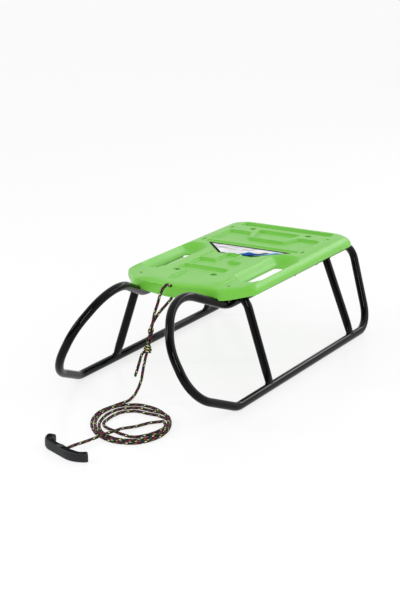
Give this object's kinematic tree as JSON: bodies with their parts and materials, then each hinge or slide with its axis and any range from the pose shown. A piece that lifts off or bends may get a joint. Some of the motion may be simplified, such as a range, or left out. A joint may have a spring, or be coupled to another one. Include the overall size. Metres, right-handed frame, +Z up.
{
  "type": "children's toboggan",
  "caption": "Small child's sled: bent steel tube frame with curled runners, a moulded plastic seat with hand-holds, and a pull rope with a moulded grip.",
  "frame": {"origin": "centre of the sled on the ground, measured without the rope and its grip", "axes": "+X to the rider's left when facing forwards (-Y), +Y towards the back of the sled, +Z up"},
  "size_m": [0.398, 1.0486, 0.232],
  "materials": {
    "black_paint": "gloss powder coat on steel tube",
    "lime_plastic": "satin moulded polypropylene",
    "zinc_steel": "passivated zinc",
    "label_film": "printed film, laminated",
    "braided_rope": "braided polypropylene rope, black with coloured flecks",
    "black_grip": "fine-textured moulding"
  },
  "bodies": {
    "root": {"left_side_loop": "black_paint", "right_side_loop": "black_paint", "front_cross_tube": "black_paint", "rear_left_leg": "black_paint", "rear_right_leg": "black_paint", "rear_cross_bar": "black_paint", "seat_shell": "lime_plastic", "seat_label": "label_film", "front_seat_screw_left": "zinc_steel", "front_seat_screw_right": "zinc_steel", "middle_rail_screw_left": "zinc_steel", "middle_rail_screw_right": "zinc_steel", "rear_rail_screw_left": "zinc_steel", "rear_rail_screw_right": "zinc_steel", "rope_bridle": "braided_rope", "rope_twist": "braided_rope", "rope_knot": "braided_rope", "rope_tail": "braided_rope", "rope_lead": "braided_rope", "rope_coil": "braided_rope", "rope_handle_run": "braided_rope", "rope_stopper": "braided_rope", "pull_handle": "black_grip"}
  },
  "joints": []
}
